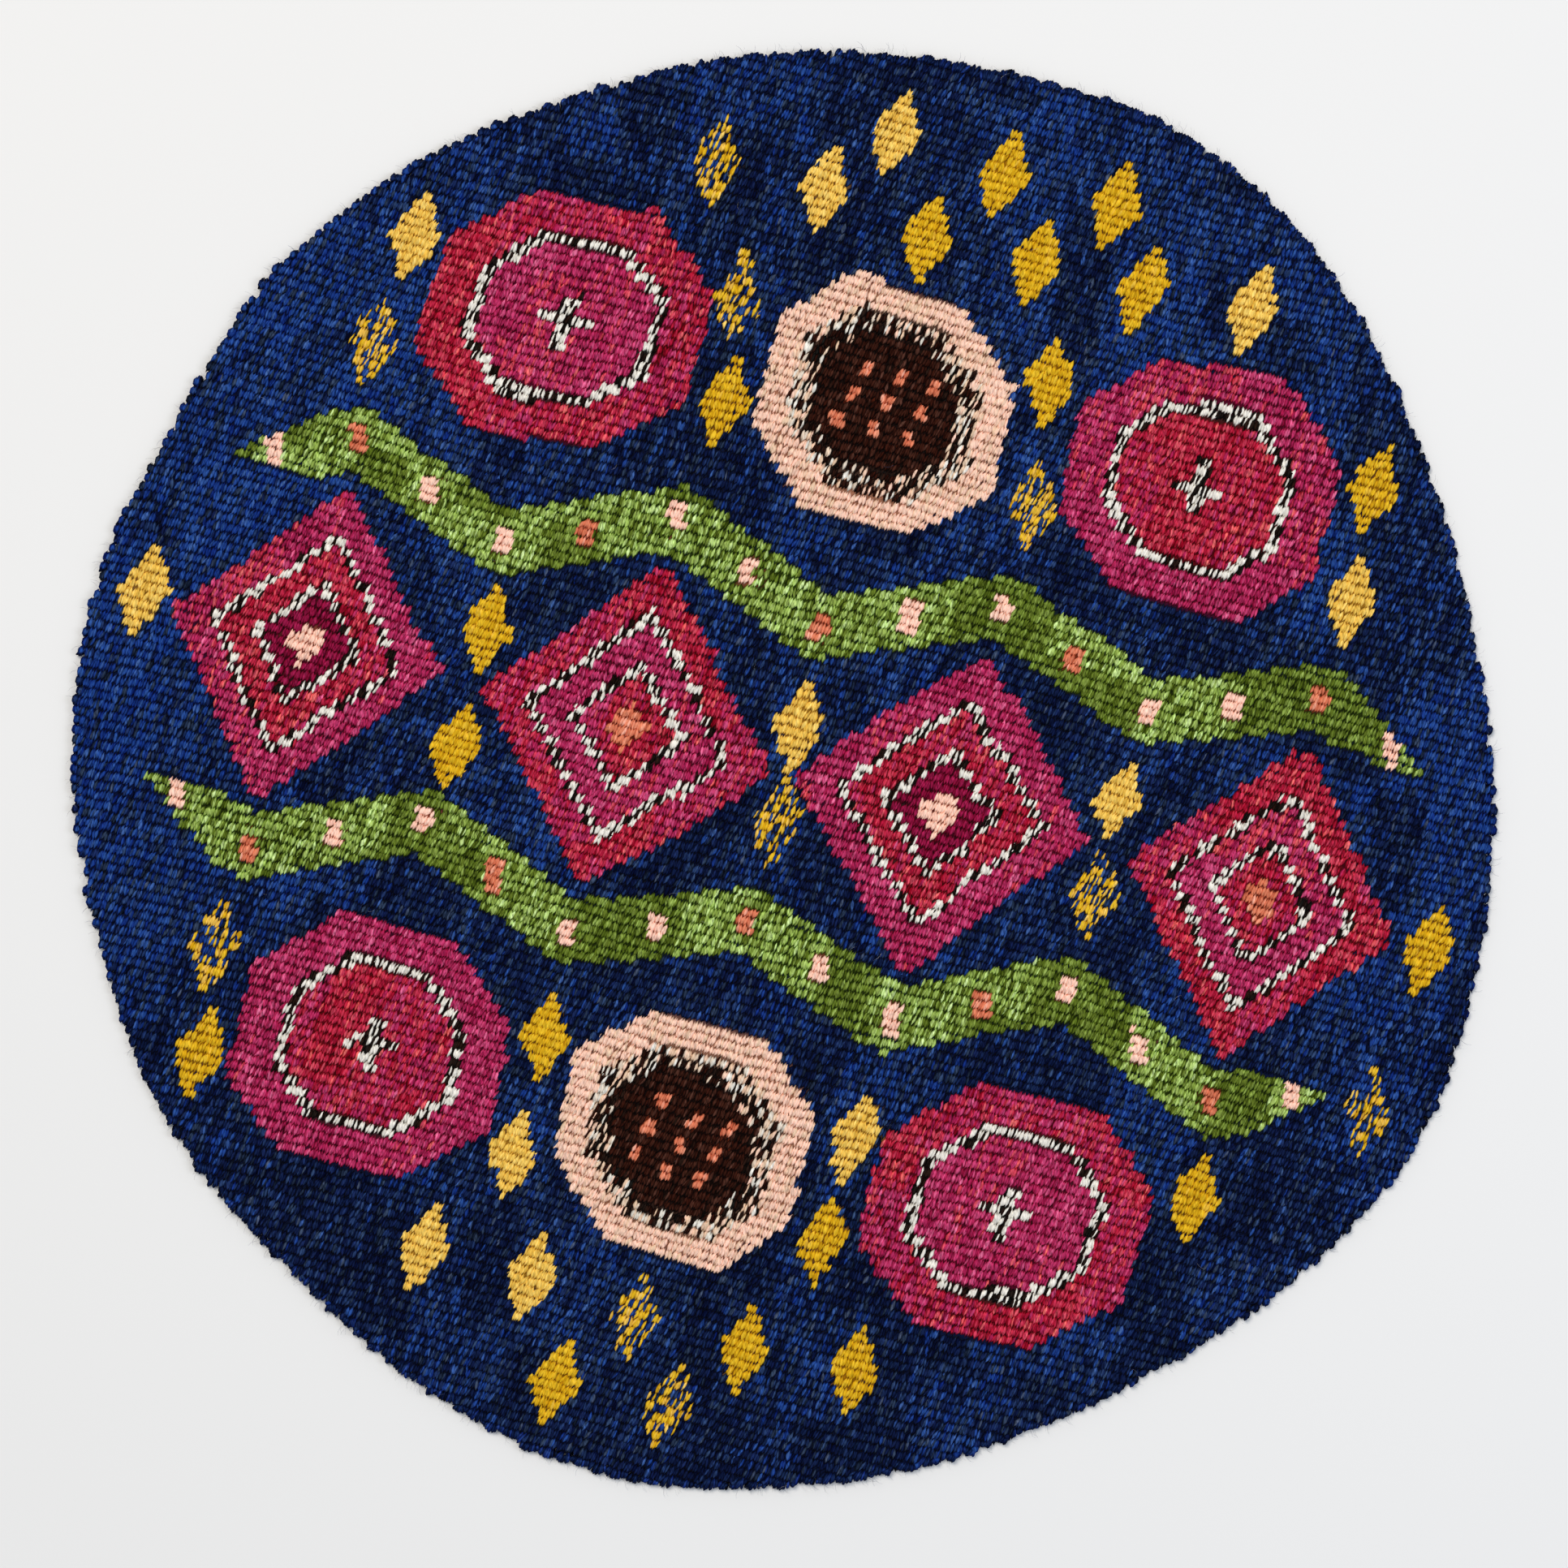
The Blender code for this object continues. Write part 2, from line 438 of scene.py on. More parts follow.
(MIDNIGHT, NAVY, ROYAL, DUSK, MAGENTA_WOOL, CRIMSON_WOOL, GREEN_WOOL, MUSTARD_WOOL,
 PALE_WOOL, DARK_WOOL) = range(10)
MIDNIGHT_BELOW = 0.40       # a ply's lean from the darkest blue to the brightest
ROYAL_ABOVE = 0.58
DUSK_ABOVE = 0.87           # a ply's chance, from 0 to 1


def spin_plies():
    """The yarn of each ply of each stitch, and its shade from 0 to 1 in that yarn's range."""
    count = len(mix)
    chance = rng.random((count, 2))
    odd = rng.random((count, 2))
    lot = stretch_lots[weft_pass + pass_count, stretch]
    block_both = np.repeat(block[:, None], 2, axis=1)
    shade = np.clip(0.5 + 0.3 * (lot - 0.5) + rng.normal(0, 0.22, (count, 2)), 0, 1)
    # the painted rim light is added to each ply's lean towards the brighter blues
    lean = 0.22 * lot + 0.46 * chance + 0.32 * block_both + rim_blue[:, None]

    yarn = np.full((count, 2), NAVY)
    yarn[lean < MIDNIGHT_BELOW] = MIDNIGHT
    yarn[lean > ROYAL_ABOVE] = ROYAL
    yarn[odd > DUSK_ABOVE] = DUSK

    def dyed(dye):
        return np.repeat((mix == dye)[:, None], 2, axis=1)

    def lay(where, kind, low, high):
        yarn[where] = kind
        shade[where] = low + (high - low) * shade[where]

    magenta = dyed(MAGENTA)
    lay(magenta, MAGENTA_WOOL, 0.25, 1.0)
    lay(magenta & (lean + 0.1 * block_both > 0.80), CRIMSON_WOOL, 0.3, 1.0)
    crimson = dyed(CRIMSON)
    lay(crimson, CRIMSON_WOOL, 0.0, 1.0)
    lay(crimson & (lean + 0.1 * block_both < 0.40), MAGENTA_WOOL, 0.3, 0.95)
    lay(dyed(PLUM), MAGENTA_WOOL, 0.0, 0.4)
    green = dyed(GREEN)
    lay(green & (block_both < 0.35), GREEN_WOOL, 0.0, 0.6)
    lay(green & (block_both >= 0.35) & (odd > 0.25), GREEN_WOOL, 0.3, 1.0)
    lay(green & (block_both >= 0.35) & (odd <= 0.25), GREEN_WOOL, 0.0, 0.3)
    lay(dyed(MUSTARD), MUSTARD_WOOL, 0.0, 0.5)
    lay(dyed(STRAW), MUSTARD_WOOL, 0.6, 1.0)
    lay(dyed(HATCHED) & (chance < 0.62), MUSTARD_WOOL, 0.0, 0.9)
    lay(dyed(CORAL), PALE_WOOL, 0.0, 0.22)
    lay(dyed(ROSE), PALE_WOOL, 0.3, 0.5)
    lay(dyed(PEACH), PALE_WOOL, 0.42, 0.72)
    lay(dyed(BROWN), DARK_WOOL, 0.25, 1.0)
    for dye, dark_share in ((SHADED, 0.34), (DEEP_SHADED, 0.66)):
        lay(dyed(dye) & (chance >= dark_share), PALE_WOOL, 0.5, 1.0)
        lay(dyed(dye) & (chance < dark_share), DARK_WOOL, 0.0, 0.6)
    pale_ply = chance < 0.6
    lay(dyed(MARL) & pale_ply, PALE_WOOL, 0.88, 1.0)
    lay(dyed(MARL) & ~pale_ply, DARK_WOOL, 0.0, 0.3)
    return yarn, shade


yarn, shade = spin_plies()
goes_on = ~(turns_up | turns_down)
rib_slope = WANDER * 2 * math.pi / WANDER_ALONG
rib_slope = rib_slope * np.cos(2 * math.pi * (along / WANDER_ALONG + across / WANDER_ACROSS))
MIDDLE_LAYER = CLOTH_THICKNESS / 2


def face_stitches():
    """Places, turns and sizes of each stitch's two plies, which lean with the yarn's twist."""
    shape = (len(along), 2)
    pull = 0.3 * (parts_below.astype(float) - parts_above)
    ply_along = along[:, None] + PLY_SPACING * np.array([-0.5, 0.5]) + rng.normal(0, 0.17, shape)
    stitch_across = across + pull + rib_stray + rng.normal(0, 0.1, len(along))
    ply_across = stitch_across[:, None] + rng.normal(0, 0.2, shape)
    x, y = on_table(ply_along, ply_across)
    height = MIDDLE_LAYER + STITCH_BASE + rng.normal(0, 0.09, shape)
    lean = (WARP_TURN + rib_slope)[:, None] + TWIST_LEAN + rng.normal(0, 0.12, shape)
    short = 1 - 0.16 * (parts_above | parts_below)
    turn = np.stack([rng.normal(0, 0.05, shape), rng.normal(0, 0.05, shape), lean], axis=-1)
    size = np.stack([rng.normal(1, 0.15, shape),
                     rng.normal(1, 0.07, shape) * short[:, None],
                     rng.normal(1, 0.05, shape)], axis=-1)
    return np.stack([x, y, height], axis=-1) * MM, turn, size


def back_stitches():
    """The same on the back, where one body stands for both plies and leans the other way."""
    count = len(along)
    turn = WARP_TURN + rib_slope - TWIST_LEAN + rng.normal(0, 0.05, count)
    x, y = on_table(along + PASS_SPACING / 2, across)
    height = np.full(count, MIDDLE_LAYER - STITCH_BASE)
    tip = rng.normal(0, 0.02, (2, count))
    turn = np.stack([tip[0], math.pi + tip[1], turn], axis=-1)
    size = np.stack([np.ones(count), np.ones(count), rng.uniform(0.93, 1.0, count)], axis=-1)
    return np.stack([x, y, height], axis=-1) * MM, turn, size


# every few turns at the rim are beaten together into a rounded lobe
LOBE_NARROWEST, LOBE_WIDEST = 4.0, 7.5
LOBE_LOWEST, LOBE_HIGHEST = 0.9, 2.4
rim_length = 2 * math.pi * foot_radius.mean()
lobe_edges = np.cumsum(rng.uniform(LOBE_NARROWEST, LOBE_WIDEST, int(rim_length / LOBE_NARROWEST)))
lobe_edges = np.concatenate([[0.0], lobe_edges[lobe_edges < rim_length - LOBE_NARROWEST], [rim_length]])
lobe_heights = rng.uniform(LOBE_LOWEST, LOBE_HIGHEST, len(lobe_edges))


def lobe_at(along, across):
    """A place's position in its lobe, from -1 to 1, and how far the lobe stands out there."""
    place = np.arctan2(across, along) / (2 * math.pi) % 1 * rim_length
    lobe = np.searchsorted(lobe_edges, place, side="right") - 1
    start, stop = lobe_edges[lobe], lobe_edges[lobe + 1]
    within = 2 * (place - start) / (stop - start) - 1
    return within, lobe_heights[lobe] * (1 - within ** 2)


END_TURNS = (20, 45, 70, 95, 120, 145)      # degrees round a rib's end, from its top
END_TUCK = 2.6              # how far a rib's end is tucked in at the head and foot
END_WIDEST = 1.38           # a wider stitch there would touch the table


def end_stitches():
    """Stitches that go round each rib's two ends, from the face to the back."""
    outermost = []
    for number in np.unique(rib):
        on_rib = np.nonzero(rib == number)[0]
        outermost += [(on_rib[np.argmin(along[on_rib])], -1), (on_rib[np.argmax(along[on_rib])], 1)]
    place, turn, size, yarns, shades = [], [], [], [], []
    for stitch, side in outermost:
        end_on = abs(along[stitch]) / math.hypot(along[stitch], across[stitch])
        lobe_stands_out = lobe_at(along[stitch], across[stitch])[1]
        for degrees in END_TURNS:
            around = math.radians(degrees + rng.normal(0, 4))
            reach_out = STITCH_BASE + 0.5 * lobe_stands_out * end_on - 0.2
            out = side * (reach_out * math.sin(around) + rng.normal(0, 0.08))
            inward = -math.copysign(END_TUCK * (1 - end_on) ** 0.8, across[stitch])
            x, y = on_table(along[stitch] + out, across[stitch] + inward + rng.normal(0, 0.1))
            lean = WARP_TURN + rib_slope[stitch] + TWIST_LEAN * math.cos(around)
            place.append((x, y, MIDDLE_LAYER + 0.06 + STITCH_BASE * math.cos(around)))
            turn.append((0, side * around, lean))
            length = (0.45 + 0.25 * end_on) * rng.normal(1, 0.04)
            width = min(rng.normal(1.3, 0.07), END_WIDEST)
            size.append((width, length, min(rng.normal(0.95, 0.03), 1)))
            yarns.append(yarn[stitch, 0])
            shades.append(shade[stitch, rng.integers(2)])
    return np.array(place) * MM, np.array(turn), np.array(size), np.array(yarns), np.array(shades)


def stitch_body(name, points):
    """A stitch's body: the smooth closed hull of a few points, with its own map."""
    bm = bmesh.new()
    for point in points:
        bm.verts.new([size * MM for size in point])
    bmesh.ops.convex_hull(bm, input=bm.verts)
    bmesh.ops.recalc_face_normals(bm, faces=bm.faces)
    low_x, high_x = min(point[0] for point in points), max(point[0] for point in points)
    layer = bm.loops.layers.uv.new("OFBake")
    for face in bm.faces:
        face.smooth = True
        under = face.normal.z < 0
        for loop in face.loops:
            u = (loop.vert.co.x / MM - low_x) / (high_x - low_x)
            v = 0.5 + loop.vert.co.y / MM / STITCH_LONG
            # the underside is never seen, so it takes the cell's empty corner
            loop[layer].uv = (0.94 - 0.2 * u, 0.86 + 0.1 * v) if under else (0.06 + 0.88 * u, 0.03 + 0.94 * v)
    mesh = bpy.data.meshes.new(name)
    bm.to_mesh(mesh)
    bm.free()
    return mesh


def mirrored(points):
    return sorted({(x * side_x + 0.0, y * side_y + 0.0, z)
                   for x, y, z in points for side_x in (-1, 1) for side_y in (-1, 1)})


# a ply crosses its rib as a spindle, with tips that dip under the next ribs; on the back
# one body stands for both plies
TIP = STITCH_LONG / 2
ply = stitch_body("ply", mirrored([(0, TIP, -0.1), (0, 1.15, STITCH_HIGH), (0.8, 0, 0.45)]))
back_stitch = stitch_body("back_stitch", mirrored([(0, TIP, -0.2), (0, 0, STITCH_HIGH), (1.1, 0, 0.3)]))


def laying(stitch):
    """The node group that puts a turned and sized copy of a stitch on each point."""
    group = bpy.data.node_groups.new("lay_" + stitch.name, "GeometryNodeTree")
    group.interface.new_socket("Geometry", in_out="INPUT", socket_type="NodeSocketGeometry")
    group.interface.new_socket("Geometry", in_out="OUTPUT", socket_type="NodeSocketGeometry")
    start = add(group, "NodeGroupInput")
    shape = add(group, "GeometryNodeObjectInfo", {"Object": stitch})
    turn = add(group, "GeometryNodeInputNamedAttribute", {"Name": "turn"}, data_type="FLOAT_VECTOR")
    size = add(group, "GeometryNodeInputNamedAttribute", {"Name": "size"}, data_type="FLOAT_VECTOR")
    copies = add(group, "GeometryNodeInstanceOnPoints", {
        "Points": start.outputs["Geometry"], "Instance": shape.outputs["Geometry"],
        "Rotation": turn.outputs["Attribute"], "Scale": size.outputs["Attribute"]})
    joined = add(group, "GeometryNodeRealizeInstances", {"Geometry": copies.outputs["Instances"]})
    add(group, "NodeGroupOutput", {"Geometry": joined.outputs["Geometry"]})
    return group


def laid_copies(stitch_mesh, place, turn, size, shade):
    """One mesh of a stitch's copies, each with its own place, turn, size and shade."""
    seeds = bpy.data.meshes.new("seeds")
    seeds.vertices.add(len(place))
    seeds.vertices.foreach_set("co", place.astype(np.float32).ravel())
    for label, values in (("turn", turn), ("size", size)):
        attribute = seeds.attributes.new(label, "FLOAT_VECTOR", "POINT")
        attribute.data.foreach_set("vector", values.astype(np.float32).ravel())
    attribute = seeds.attributes.new("shade", "FLOAT", "POINT")
    attribute.data.foreach_set("value", shade.astype(np.float32))
    stitch = new_piece("stitch", stitch_mesh)
    sown = new_piece("sown", seeds)
    modifier = sown.modifiers.new("laid", "NODES")
    modifier.node_group = laying(stitch)
    graph = bpy.context.evaluated_depsgraph_get()
    mesh = bpy.data.meshes.new_from_object(sown.evaluated_get(graph))
    bpy.data.objects.remove(sown)
    bpy.data.objects.remove(stitch)
    return mesh


def give_cells(mesh, corners_each, first, total):
    """Gives each copy its own small cell of the piece's map, from cell number first."""
    columns = math.ceil(math.sqrt(2 * total))
    rows = math.ceil(total / columns)
    layer = mesh.uv_layers["OFBake"]
    places = np.zeros(len(mesh.loops) * 2, np.float32)
    layer.data.foreach_get("uv", places)
    places = places.reshape(-1, corners_each, 2)
    copy = first + np.arange(len(places))
    cell = np.stack([copy % columns, copy // columns], axis=-1)
    places = (places + cell[:, None, :]) / [columns, rows]
    layer.data.foreach_set("uv", places.astype(np.float32).ravel())


def lay_stitches(name, batches, wool):
    """A piece made of batches of copies: (stitch, places, turns, sizes, shades)."""
    total = sum(len(batch[1]) for batch in batches)
    laid = 0
    bm = bmesh.new()
    for batch in batches:
        if len(batch[1]) == 0:
            continue
        mesh = laid_copies(*batch)
        give_cells(mesh, len(batch[0].loops), laid, total)
        bm.from_mesh(mesh)
        laid += len(batch[1])
    mesh = bpy.data.meshes.new(name)
    bm.to_mesh(mesh)
    bm.free()
    mesh.materials.append(wool)
    piece = new_piece(name, mesh)
    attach(piece, "root")
    return piece


# Hand-dyed wool, two-ply and loosely spun: matt, with a faint bloom from loose fibres. The
# fibres are finer than the render shows, so their streaks are drawn 0.6 mm wide.
FIBRE_WIDE = 0.6
FIBRE_LONG = 2.4
FIBRE_RELIEF = 0.15
# heights where the painted shade is darkest and where the painted highlight is lightest
PAINTED_SHADE_AT, PAINTED_HIGHLIGHT_AT = 0.75, 1.45        # from the cloth's middle layer


def dyed_wool(name, *shades, streak=0.6, deep=1.4):
    """Wool with its shades from dark to light, picked by each stitch's own shade, with painted shade low
    between the stitches and a painted highlight on their crests.
    """
    material = bpy.data.materials.new(name)
    material.use_nodes = True
    tree = material.node_tree
    shader = tree.nodes["Principled BSDF"]
    own = add(tree, "ShaderNodeAttribute", attribute_name="shade")
    ramp = add(tree, "ShaderNodeValToRGB", {"Fac": own.outputs["Fac"]})
    stops = ramp.color_ramp.elements
    while len(stops) < len(shades):
        stops.new(0.5)
    for number, colour in enumerate(shades):
        stops[number].position = number / (len(shades) - 1)
        stops[number].color = linear(colour)
    where = add(tree, "ShaderNodeTexCoord")
    lean = add(tree, "ShaderNodeMapping", {
        "Vector": where.outputs["Object"], "Rotation": (0, 0, -(WARP_TURN + TWIST_LEAN)),
        "Scale": (1 / (FIBRE_WIDE * MM), 1 / (FIBRE_LONG * MM), 1 / (FIBRE_WIDE * MM))})
    fibres = add(tree, "ShaderNodeTexNoise", {"Vector": lean.outputs["Vector"], "Scale": 1.0, "Detail": 2.0})
    fleck = add(tree, "ShaderNodeMapRange", {
        "Value": fibres.outputs["Fac"], "From Min": 0.3, "From Max": 0.7,
        "To Min": 1 - streak, "To Max": 1 + streak})
    # painted shade and highlight: the ramp's colour is darkened low between the stitches and lightened on
    # their crests, by height from the cloth's middle layer
    height = add(tree, "ShaderNodeSeparateXYZ", {"Vector": where.outputs["Object"]})
    from_middle = add(tree, "ShaderNodeMath", {0: height.outputs["Z"], 1: CLOTH_THICKNESS / 2 * MM},
                      operation="SUBTRACT")
    outward = add(tree, "ShaderNodeMath", {0: from_middle.outputs["Value"]}, operation="ABSOLUTE")
    painted_height_shade = add(tree, "ShaderNodeMapRange", {
        "Value": outward.outputs["Value"], "From Min": PAINTED_SHADE_AT * MM, "From Max": PAINTED_HIGHLIGHT_AT * MM,
        "To Min": deep, "To Max": 0.88})
    dye = add(tree, "ShaderNodeGamma", {"Color": ramp.outputs["Color"], "Gamma": painted_height_shade.outputs["Result"]})
    tone = add(tree, "ShaderNodeVectorMath", {0: dye.outputs["Color"], 1: fleck.outputs["Result"]},
               operation="MULTIPLY")
    bump = add(tree, "ShaderNodeBump", {
        "Height": fibres.outputs["Fac"], "Strength": 0.35, "Distance": FIBRE_RELIEF * MM})
    tree.links.new(tone.outputs["Vector"], shader.inputs["Base Color"])
    tree.links.new(bump.outputs["Normal"], shader.inputs["Normal"])
    shader.inputs["Roughness"].default_value = 0.9
    shader.inputs["Specular IOR Level"].default_value = 0.03
    shader.inputs["Sheen Weight"].default_value = 0.012
    shader.inputs["Sheen Roughness"].default_value = 0.5
    return material


face_place, face_turn, face_size = face_stitches()
back_place, back_turn, back_size = back_stitches()
end_place, end_turn, end_size, end_yarn, end_shade = end_stitches()


def weave_yarn(name, kind, wool):
    """All the stitches of one yarn, on the face, on the back and round the ribs' ends."""
    face = (yarn == kind) & goes_on[:, None]
    behind = (yarn[:, 0] == kind) & goes_on
    at_end = end_yarn == kind
    batches = (
        (ply, face_place[face], face_turn[face], face_size[face], shade[face]),
        (ply, end_place[at_end], end_turn[at_end], end_size[at_end], end_shade[at_end]),
        (back_stitch, back_place[behind], back_turn[behind], back_size[behind], shade[behind, 0]),
    )
    lay_stitches(name, batches, wool)


# The ground's darkest yarn: wool from a deep indigo bath, which the painted shade turns nearly black in the
# valleys.
# It is woven in the same passes as the other blues, stitch by stitch between them.
midnight = dyed_wool("midnight_indigo_wool", "#020726", "#060e2c", "#0a1638", "#122142")
weave_yarn("weft_midnight", MIDNIGHT, midnight)

# The ground's main yarn: navy wool, whose uneven indigo bath leaves lighter and darker
# lengths that show as soft patches.
navy = dyed_wool("navy_indigo_wool", "#091339", "#101e48", "#192c54", "#273b5e")
weave_yarn("weft_navy", NAVY, navy)

# A brighter blue wool, twisted in with the navy. The painted rim light makes it most
# common near the rim at the left, where whole blocks are woven with it.
royal = dyed_wool("royal_blue_wool", "#0a2063", "#112c70", "#1c3d7e", "#304e88")
weave_yarn("weft_royal", ROYAL, royal)

# Grey and dulled blue wools, over-dyed once: about one ply in eight of the ground, which
# they break up.
dusk = dyed_wool("overdyed_blue_wool", "#0e1728", "#162136", "#212f46", "#38435a")
weave_yarn("weft_dusk", DUSK, dusk)

# Pink wool, from plum to a soft pink, for half of the large motifs' bands and hearts. A
# few of its plies lie among the reds.
magenta = dyed_wool("magenta_wool", "#660422", "#7e0e34", "#901640", "#a42652", "#b83c68", "#d05c84")
weave_yarn("weft_magenta", MAGENTA_WOOL, magenta)

# Red wool, from wine to a warm coral red, for the large motifs' other bands and hearts. A
# few of its plies lie among the pinks.
crimson = dyed_wool("crimson_wool", "#7c0418", "#900c26", "#a21a34", "#b42c44", "#c34252", "#d65c5a")
weave_yarn("weft_crimson", CRIMSON_WOOL, crimson)

# Green wool of the zigzags, from olive to a fresh leaf green. Blocks of one lot follow
# each other, so a band turns darker and lighter along its way.
green = dyed_wool("leaf_green_wool", "#36440a", "#54651c", "#768c3a", "#98b25a", "#bcd68c")
weave_yarn("weft_green", GREEN_WOOL, green)

# Yellow wool of the small lozenges: a mustard dye lot, and a paler, tanner one at the
# ramp's end. Light goes through it more, so its streaks are softer and its painted shade in the gaps lighter.
mustard = dyed_wool("mustard_wool", "#bb890c", "#cd9e14", "#dcb124", "#d4a43a", "#e3b84e", "#f0cc68",
                    streak=0.3, deep=1.15)
weave_yarn("weft_mustard", MUSTARD_WOOL, mustard)

# Pale wools for small parts, from coral through rose, peach and tan to undyed white.
# One ramp holds them, and each part of the design picks its own stretch of it.
# its painted shade in the gaps is lighter too
pale = dyed_wool("pale_wool", "#b4553a", "#d87a58", "#f2b8a2", "#f6c8b2", "#eabfa8", "#dab898",
                 "#d4cfc2", "#e4e0d6", streak=0.3, deep=1.15)
weave_yarn("weft_pale", PALE_WOOL, pale)

# Nearly black and dark brown wool, undyed, from dark fleeces: the dark octagons' hearts,
# and two plies in five of the two-tone lines.
dark = dyed_wool("dark_fleece_wool", "#0f0e0c", "#1a0d08", "#260b05", "#32170f", "#472920")
weave_yarn("weft_dark", DARK_WOOL, dark)

# The rim at the head and foot: each weft turns round the outermost warp there, from face
# to back, and every few turns are beaten together into a rounded lobe.
LOBE_FAN = 0.4              # how far the turns lean out at a lobe's edges
TURN_THICKNESS = 1.0
TURN_TAIL = 2.3             # how far a turn reaches in over and under the cloth
TURN_TAPER = 0.4            # thickness at its ends, as a share
LEAST_PROUD, MOST_PROUD = -1.8, 3.2


def bent_yarn(name, route, thickness, ends):
    """A four-sided yarn along a route of points, tapered at its ends, as a welded mesh."""
    curve = bpy.data.curves.new(name, "CURVE")
    curve.dimensions = "3D"
    curve.bevel_depth = thickness / 2 * MM
    curve.bevel_resolution = 0
    curve.use_fill_caps = True
    spline = curve.splines.new("POLY")
    spline.points.add(len(route) - 1)
    for number, point in enumerate(route):
        spline.points[number].co = [size * MM for size in point] + [1.0]
        spline.points[number].radius = ends if number in (0, len(route) - 1) else 1.0
    drawn = new_piece(name, curve)
    mesh = bpy.data.meshes.new_from_object(drawn.evaluated_get(bpy.context.evaluated_depsgraph_get()))
    bpy.data.objects.remove(drawn)
    bm = bmesh.new()
    bm.from_mesh(mesh)
    bmesh.ops.remove_doubles(bm, verts=bm.verts, dist=0.002 * MM)
    bmesh.ops.recalc_face_normals(bm, faces=bm.faces)
    for layer in list(bm.loops.layers.uv.values()):
        bm.loops.layers.uv.remove(layer)
    layer = bm.loops.layers.uv.new("OFBake")
    across_cell = math.ceil(math.sqrt(len(bm.faces)))
    square = ((0.15, 0.15), (0.85, 0.15), (0.85, 0.85), (0.15, 0.85))
    for number, face in enumerate(bm.faces):
        face.smooth = True
        for loop, spot in zip(face.loops, square):
            u = (number % across_cell + spot[0]) / across_cell
            v = (number // across_cell + spot[1]) / across_cell
            loop[layer].uv = (u, v)
    bm.to_mesh(mesh)
    bm.free()
    return mesh


turn_bend = REACH - TURN_THICKNESS / 2
turn_route = ((0, -TURN_TAIL, 0.3), (0, -0.7, turn_bend), (0, 0.6, 0.7), (0, turn_bend, 0),
              (0, 0.6, -0.7), (0, -0.7, -turn_bend), (0, -TURN_TAIL, -0.3))
rim_yarn = bent_yarn("rim_yarn", turn_route, TURN_THICKNESS, TURN_TAPER)
rim_place, rim_turn, rim_size, rim_shade = [], [], [], []
for turning, side in ((turns_up, 1), (turns_down, -1)):
    found = np.nonzero(turning)[0]
    shape = (len(found), 2)
    strand_along = along[found][:, None] + PLY_SPACING * np.array([-0.5, 0.5])
    in_lobe, lobe_stands_out = lobe_at(strand_along, np.repeat(across[found][:, None], 2, axis=1))
    from_rib = np.arctan2(across[found], along[found])
    short_of_rim = (inside_rim(along[found], across[found]) - REACH) * np.abs(np.sin(from_rib)) ** 2
    proud = (short_of_rim - 0.7)[:, None] + lobe_stands_out
    proud = np.clip(proud + rng.normal(0, 0.1, shape), LEAST_PROUD, MOST_PROUD)
    x, y = on_table(strand_along + rng.normal(0, 0.15, shape),
                    across[found][:, None] + side * proud / 2)
    lean = (WARP_TURN + rib_slope[found])[:, None] + TWIST_LEAN + LOBE_FAN * in_lobe
    lean = lean + rng.normal(0, 0.12, shape) + (math.pi if side < 0 else 0)
    height = MIDDLE_LAYER + rng.uniform(0, 0.06, shape)
    rim_place.append(np.stack([x, y, height], axis=-1).reshape(-1, 3) * MM)
    rim_turn.append(np.stack([np.zeros(shape), rng.normal(0, 0.1, shape), lean], axis=-1).reshape(-1, 3))
    rim_size.append(np.stack([rng.uniform(0.95, 1.35, shape),
                              (REACH + TURN_TAIL + proud) / (REACH + TURN_TAIL),
                              rng.uniform(0.93, 0.99, shape)], axis=-1).reshape(-1, 3))
    lot = stretch_lots[weft_pass[found] + pass_count, stretch[found]]
    rim_shade.append(np.clip(0.4 * lot + 0.6 * rng.random(shape), 0, 1).ravel())
rim_wool = dyed_wool("rim_blue_wool", "#040916", "#0a1634", "#10204a", "#16284e", "#1c3272", "#2a4688")
rim_batch = (rim_yarn, np.concatenate(rim_place), np.concatenate(rim_turn),
             np.concatenate(rim_size), np.concatenate(rim_shade))
rim_turns = lay_stitches("rim_turns", [rim_batch], rim_wool)

# Loose fibres of the wool: short, fine and curled. They have worked out of the yarn, most
# of them at the rim.
FIBRES_AT_RIM = 1800
FIBRES_ON_FACE = 300
FIBRE_THICKNESS = 0.06
FACE_TOP = 2.7              # height at which a fibre leaves the face
fibre_route = ((0, 0, 0), (1.6, 0.25, 0.35), (3.0, 1.0, 0.5), (3.9, 2.1, 0.35))
fibre = bent_yarn("loose_fibre", fibre_route, FIBRE_THICKNESS, 0.6)
bearing = rng.uniform(0, 2 * math.pi, FIBRES_AT_RIM)
start = rim_at(bearing) - rng.uniform(0.2, 1.0, FIBRES_AT_RIM)
at_rim = np.stack([start * np.cos(bearing), start * np.sin(bearing),
                   rng.uniform(1.0, 2.6, FIBRES_AT_RIM)], axis=-1)
rim_spread = bearing + rng.normal(0, 0.7, FIBRES_AT_RIM)
spot = rng.integers(0, len(along), FIBRES_ON_FACE)
face_x, face_y = on_table(along[spot], across[spot])
on_face = np.stack([face_x, face_y, np.full(FIBRES_ON_FACE, FACE_TOP)], axis=-1)
fibre_place = np.concatenate([at_rim, on_face]) * MM
fibre_count = len(fibre_place)
spread = np.concatenate([rim_spread, rng.uniform(0, 2 * math.pi, FIBRES_ON_FACE)])
fibre_turn = np.stack([rng.uniform(0, 0.9, fibre_count), rng.uniform(-0.15, 0, fibre_count), spread],
                      axis=-1)
long = rng.uniform(0.3, 1.0, fibre_count) ** 1.3
fibre_size = np.stack([long, long * rng.uniform(0.3, 1.3, fibre_count), long], axis=-1)
fibre_wool = dyed_wool("loose_wool_fibre", "#2a3350", "#56607c", "#b9b6ae")
fibre_shade = rng.random(fibre_count) ** 2
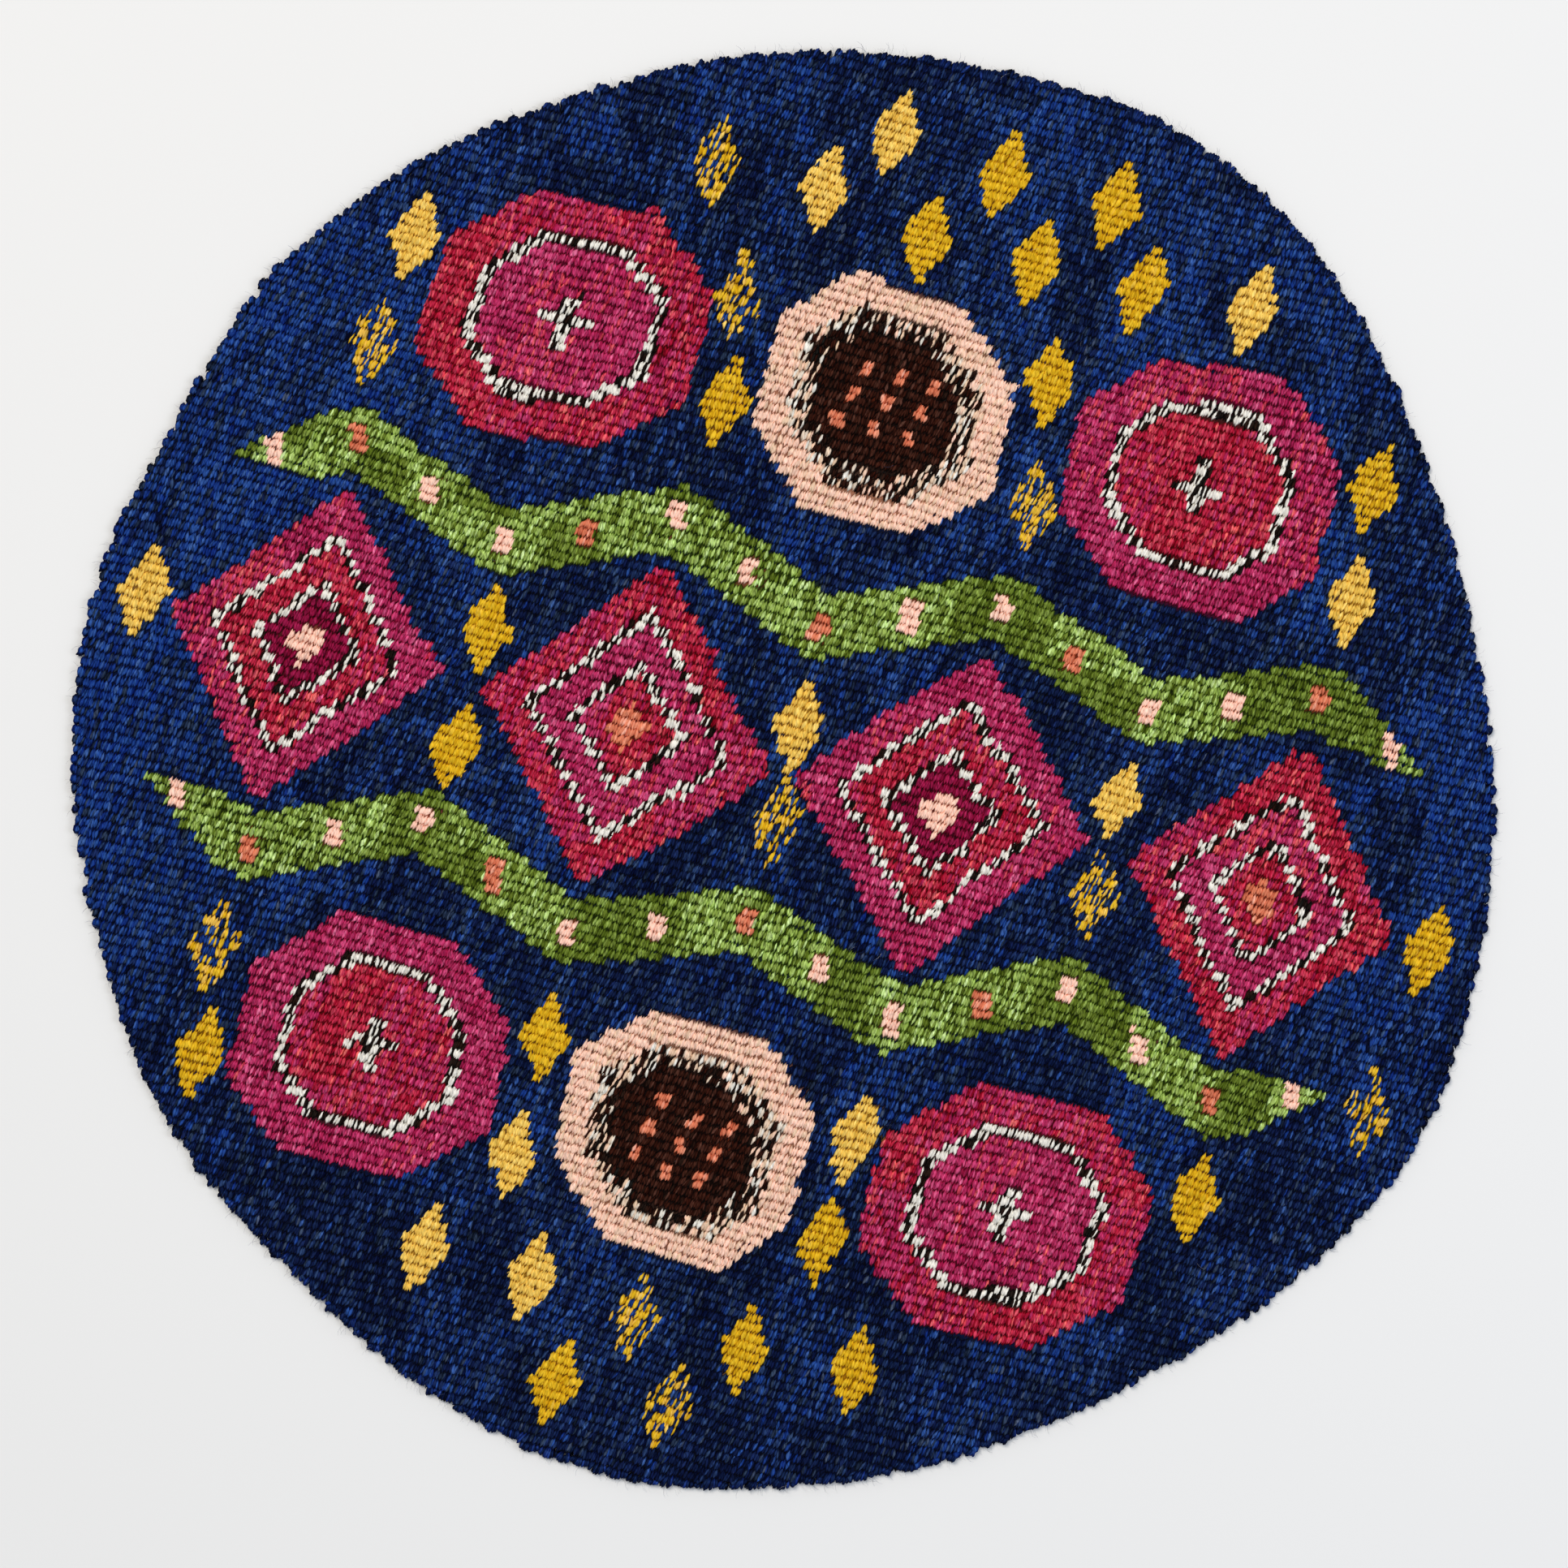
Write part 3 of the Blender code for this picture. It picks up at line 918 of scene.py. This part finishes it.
fibre_batch = (fibre, fibre_place, fibre_turn, fibre_size, fibre_shade)
loose_fibres = lay_stitches("loose_fibres", [fibre_batch], fibre_wool)

# The table top that it lies on: plain, pale and matt. It stands a hair below the cloth, so
# that no two faces share a place.
TABLE_HALF = 3.0            # metres
TABLE_GAP = 0.05 * MM
bm = bmesh.new()
bmesh.ops.create_grid(bm, x_segments=1, y_segments=1, size=TABLE_HALF)
bmesh.ops.translate(bm, verts=bm.verts, vec=(0, 0, -TABLE_GAP))
floor_mesh = bpy.data.meshes.new("floor")
bm.to_mesh(floor_mesh)
bm.free()
floor = new_piece("floor", floor_mesh)
floor_paint = bpy.data.materials.new("matt_white_board")
floor_paint.use_nodes = True
shader = floor_paint.node_tree.nodes["Principled BSDF"]
shader.inputs["Base Color"].default_value = linear("#e5e5e3")
shader.inputs["Roughness"].default_value = 0.9
floor.data.materials.append(floor_paint)

# Soft studio light: a broad lamp above, a little to the upper left, a weak one from the
# right, and a pale room. Places and widths are in metres.
world = bpy.data.worlds.new("pale_room")
bpy.context.scene.world = world
world.use_nodes = True
world.node_tree.nodes["Background"].inputs["Color"].default_value = linear("#e4ecf8")
world.node_tree.nodes["Background"].inputs["Strength"].default_value = 0.55
bpy.context.scene.view_settings.view_transform = "Standard"


def lamp(name, place, aim, width, watts, colour):
    light = bpy.data.lights.new(name, "AREA")
    light.shape = "DISK"
    light.size = width
    light.energy = watts
    light.color = linear(colour)[:3]
    stand = bpy.data.objects.new(name, light)
    bpy.context.scene.collection.objects.link(stand)
    stand.location = place
    way = (aim[0] - place[0], aim[1] - place[1], aim[2] - place[2])
    from_up = math.atan2(math.hypot(way[0], way[1]), -way[2])
    stand.rotation_euler = (from_up, 0, math.atan2(way[1], way[0]) - math.pi / 2)


lamp("window", (-0.8, 1.2, 2.6), (0, 0, 0), 1.5, 55, "#fff6ea")
lamp("far_wall", (1.3, -0.1, 1.3), (0, 0, 0), 0.9, 9, "#eef3ff")

# The camera: straight above, framing the cloth as the photograph does.
PHOTO_SIDE = 521.6 * MM
CLOTH_ABOVE_MIDDLE = 4.7 * MM
CAMERA_HEIGHT = 1.4         # metres
lens = bpy.data.cameras.new("camera")
lens.sensor_width = 36
lens.lens = lens.sensor_width * (CAMERA_HEIGHT - CLOTH_THICKNESS * MM) / PHOTO_SIDE
camera = bpy.data.objects.new("camera", lens)
camera.location = (0, -CLOTH_ABOVE_MIDDLE, CAMERA_HEIGHT)
bpy.context.scene.collection.objects.link(camera)
bpy.context.scene.camera = camera
